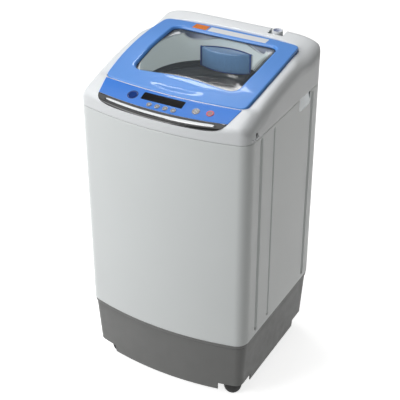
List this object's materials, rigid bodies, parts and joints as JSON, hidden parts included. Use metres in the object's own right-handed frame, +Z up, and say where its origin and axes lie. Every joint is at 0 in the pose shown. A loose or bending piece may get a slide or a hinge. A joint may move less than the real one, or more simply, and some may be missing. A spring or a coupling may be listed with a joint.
{
  "type": "top load washing machine",
  "caption": "Compact white top load washing machine with a blue arched lid, round wash opening, touch panel, grey plinth and levelling feet.",
  "frame": {"origin": "on the floor under the middle of the body's bounding box", "axes": "+X to the machine's right as seen from the front, +Y to the rear, +Z up; the control panel is on the -Y side"},
  "size_m": [0.42, 0.404, 0.811],
  "materials": {
    "white_enamel": "smooth white baked enamel on sheet steel",
    "white_plastic": "smooth white moulded plastic with a soft sheen",
    "liner_plastic": "pale grey-green moulded plastic",
    "plinth_plastic": "fine-grained warm grey plastic",
    "galvanised": "zinc-coated sheet steel",
    "panel_blue": "deep blue printed overlay under gloss",
    "lid_blue": "glossy bright blue moulding",
    "trim_black": "piano black",
    "display_black": "dark tinted window",
    "board_green": "printed circuit board",
    "part_ivory": "unpainted nylon",
    "inlet_blue": "blue mesh screen",
    "black_plastic": "black moulded plastic",
    "grey_rubber": "soft grey rubber",
    "black_rubber": "black rubber",
    "tub_plastic": "white polypropylene",
    "stainless": "circumferentially brushed stainless steel",
    "ring_grey": "dark grey gloss plastic",
    "flange_alloy": "die-cast aluminium alloy",
    "shaft_steel": "ground steel",
    "motor_paint": "black motor enamel",
    "spring_steel": "zinc-plated spring wire",
    "pulsator_grey": "light grey plastic",
    "capacitor_can": "drawn aluminium can",
    "window_clear": "clear pane with a dotted dark border",
    "label_orange": "blank orange label",
    "label_white": "blank white label with faint rules",
    "drawer_blue": "translucent blue plastic",
    "frame_navy": "dark blue plastic",
    "key_grey": "grey key top with a light rim",
    "key_red": "key top with a red ring",
    "key_navy": "dished dark blue key"
  },
  "bodies": {
    "cabinet": {"base_plinth": "plinth_plastic", "cabinet_wrap": "white_enamel", "back_panel": "galvanised", "top_cover": "white_plastic", "opening_liner": "liner_plastic", "control_panel": "panel_blue", "panel_trim": "trim_black", "display_window": "display_black", "control_board": "board_green", "lid_switch": "part_ivory", "water_valve": "white_plastic", "inlet_screen": "inlet_blue", "dispenser_housing": "white_plastic", "hand_grips": "white_plastic", "suspension_seats": "galvanised", "suspension_rods": "shaft_steel", "suspension_springs": "spring_steel", "drain_elbow": "black_plastic", "drain_bellows": "grey_rubber", "cord_gland": "black_plastic", "run_capacitor": "capacitor_can", "pressure_switch": "part_ivory", "body_screws": "shaft_steel", "foot_locknuts": "shaft_steel"},
    "tub": {"outer_tub": "tub_plastic", "tub_cover": "black_plastic", "drive_frame": "galvanised", "bearing_housing": "flange_alloy", "motor_housing": "motor_paint", "drive_belt": "black_rubber", "drain_valve": "white_plastic"},
    "basket": {"basket_drum": "stainless", "balance_ring": "ring_grey", "basket_flange": "flange_alloy", "spin_tube": "shaft_steel"},
    "agitator": {"pulsator": "pulsator_grey", "pulsator_cap": "panel_blue", "wash_shaft": "shaft_steel", "drive_pulley": "flange_alloy"},
    "rotor": {"motor_shaft": "shaft_steel", "motor_pulley": "flange_alloy"},
    "lid": {"lid_frame": "lid_blue", "lid_window": "window_clear", "lid_hinge_pins": "shaft_steel", "lid_label_orange": "label_orange", "lid_label_white": "label_white", "lid_buffers": "grey_rubber"},
    "drawer": {"drawer_frame": "frame_navy", "drawer_tray": "drawer_blue"},
    "function_button_1_key": {"function_button_1": "key_grey"},
    "function_button_2_key": {"function_button_2": "key_grey"},
    "function_button_3_key": {"function_button_3": "key_grey"},
    "function_button_4_key": {"function_button_4": "key_grey"},
    "start_button_key": {"start_button": "key_grey"},
    "power_button_key": {"power_button": "key_red"},
    "program_button_key": {"program_button": "key_navy"},
    "foot_front_left_leg": {"foot_front_left": "black_rubber"},
    "foot_front_right_leg": {"foot_front_right": "black_rubber"},
    "foot_rear_left_leg": {"foot_rear_left": "black_rubber"},
    "foot_rear_right_leg": {"foot_rear_right": "black_rubber"}
  },
  "joints": [
    {"name": "lid_hinge", "type": "hinge", "parent": "cabinet", "child": "lid", "pos_m": [0, 0.136, 0.79567], "axis": [-1, 0, 0], "range_deg": [0, 100]},
    {"name": "tub_bounce", "type": "slide", "parent": "cabinet", "child": "tub", "axis": [0, 0, 1], "range_m": [-0.02, 0.004], "stiffness_N_per_m": 24000, "springref_m": 0.0067, "deforming": ["suspension_springs", "drain_bellows"]},
    {"name": "basket_spin", "type": "hinge", "parent": "tub", "child": "basket", "pos_m": [0, 0.015, 0.4], "axis": [0, 0, 1], "continuous": true},
    {"name": "agitator_spin", "type": "hinge", "parent": "tub", "child": "agitator", "pos_m": [0, 0.015, 0.3], "axis": [0, 0, 1], "continuous": true},
    {"name": "motor_spin", "type": "hinge", "parent": "tub", "child": "rotor", "pos_m": [0.098, -0.043, 0.23], "axis": [0, 0, 1], "continuous": true},
    {"name": "drawer_slide", "type": "slide", "parent": "cabinet", "child": "drawer", "axis": [0.0819, -0.9966, 0], "range_m": [0, 0.028]},
    {"name": "function_button_1_press", "type": "slide", "parent": "cabinet", "child": "function_button_1_key", "axis": [0, 0.3278, -0.9448], "range_m": [0, 0.0012], "stiffness_N_per_m": 300, "springref_m": -0.001},
    {"name": "function_button_2_press", "type": "slide", "parent": "cabinet", "child": "function_button_2_key", "axis": [0, 0.3278, -0.9448], "range_m": [0, 0.0012], "stiffness_N_per_m": 300, "springref_m": -0.001},
    {"name": "function_button_3_press", "type": "slide", "parent": "cabinet", "child": "function_button_3_key", "axis": [0, 0.3278, -0.9448], "range_m": [0, 0.0012], "stiffness_N_per_m": 300, "springref_m": -0.001},
    {"name": "function_button_4_press", "type": "slide", "parent": "cabinet", "child": "function_button_4_key", "axis": [0, 0.3278, -0.9448], "range_m": [0, 0.0012], "stiffness_N_per_m": 300, "springref_m": -0.001},
    {"name": "start_button_press", "type": "slide", "parent": "cabinet", "child": "start_button_key", "axis": [0, 0.3153, -0.949], "range_m": [0, 0.0012], "stiffness_N_per_m": 300, "springref_m": -0.001},
    {"name": "power_button_press", "type": "slide", "parent": "cabinet", "child": "power_button_key", "axis": [0, 0.3118, -0.9501], "range_m": [0, 0.0012], "stiffness_N_per_m": 300, "springref_m": -0.001},
    {"name": "program_button_press", "type": "slide", "parent": "cabinet", "child": "program_button_key", "axis": [0, 0.3128, -0.9498], "range_m": [0, 0.0012], "stiffness_N_per_m": 300, "springref_m": -0.001},
    {"name": "foot_front_left_level", "type": "slide", "parent": "cabinet", "child": "foot_front_left_leg", "axis": [0, 0, 1], "range_m": [-0.012, 0]},
    {"name": "foot_front_right_level", "type": "slide", "parent": "cabinet", "child": "foot_front_right_leg", "axis": [0, 0, 1], "range_m": [-0.012, 0]},
    {"name": "foot_rear_left_level", "type": "slide", "parent": "cabinet", "child": "foot_rear_left_leg", "axis": [0, 0, 1], "range_m": [-0.012, 0]},
    {"name": "foot_rear_right_level", "type": "slide", "parent": "cabinet", "child": "foot_rear_right_leg", "axis": [0, 0, 1], "range_m": [-0.012, 0]}
  ],
  "couplings": [
    {"joint": "motor_spin", "follows": "agitator_spin", "ratio": 2.5}
  ]
}
